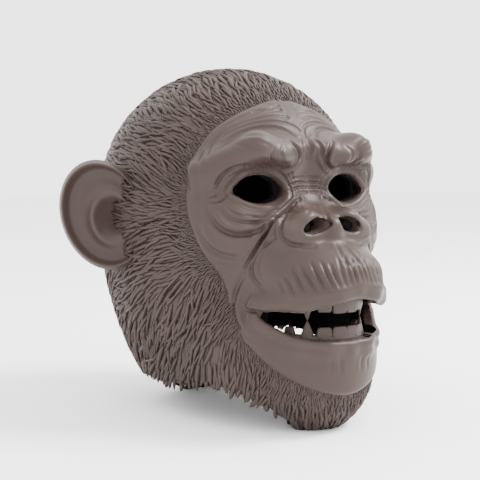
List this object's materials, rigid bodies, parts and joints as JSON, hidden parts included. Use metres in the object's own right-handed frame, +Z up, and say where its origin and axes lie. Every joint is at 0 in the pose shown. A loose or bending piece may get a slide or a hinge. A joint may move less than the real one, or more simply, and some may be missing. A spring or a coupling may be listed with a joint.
{
  "type": "monkey mask",
  "caption": "Full-head ape mask in grey-brown moulded latex with sculpted fur, round ears, open eye holes and an open mouth with teeth.",
  "frame": {"origin": "middle of the bounding box on the floor, under the chin and the nape", "axes": "+Z up, the face looks along -Y, +X to the mask's own left"},
  "size_m": [0.3152, 0.306, 0.2953],
  "materials": {
    "face_skin": "satin",
    "fur_hood": "matte",
    "ear_right": "satin",
    "ear_left": "satin",
    "upper_teeth": "satin",
    "lower_teeth": "satin"
  },
  "bodies": {
    "root": {"face_skin": "face_skin", "fur_hood": "fur_hood", "ear_right": "ear_right", "ear_left": "ear_left", "upper_teeth": "upper_teeth", "lower_teeth": "lower_teeth"}
  },
  "joints": []
}
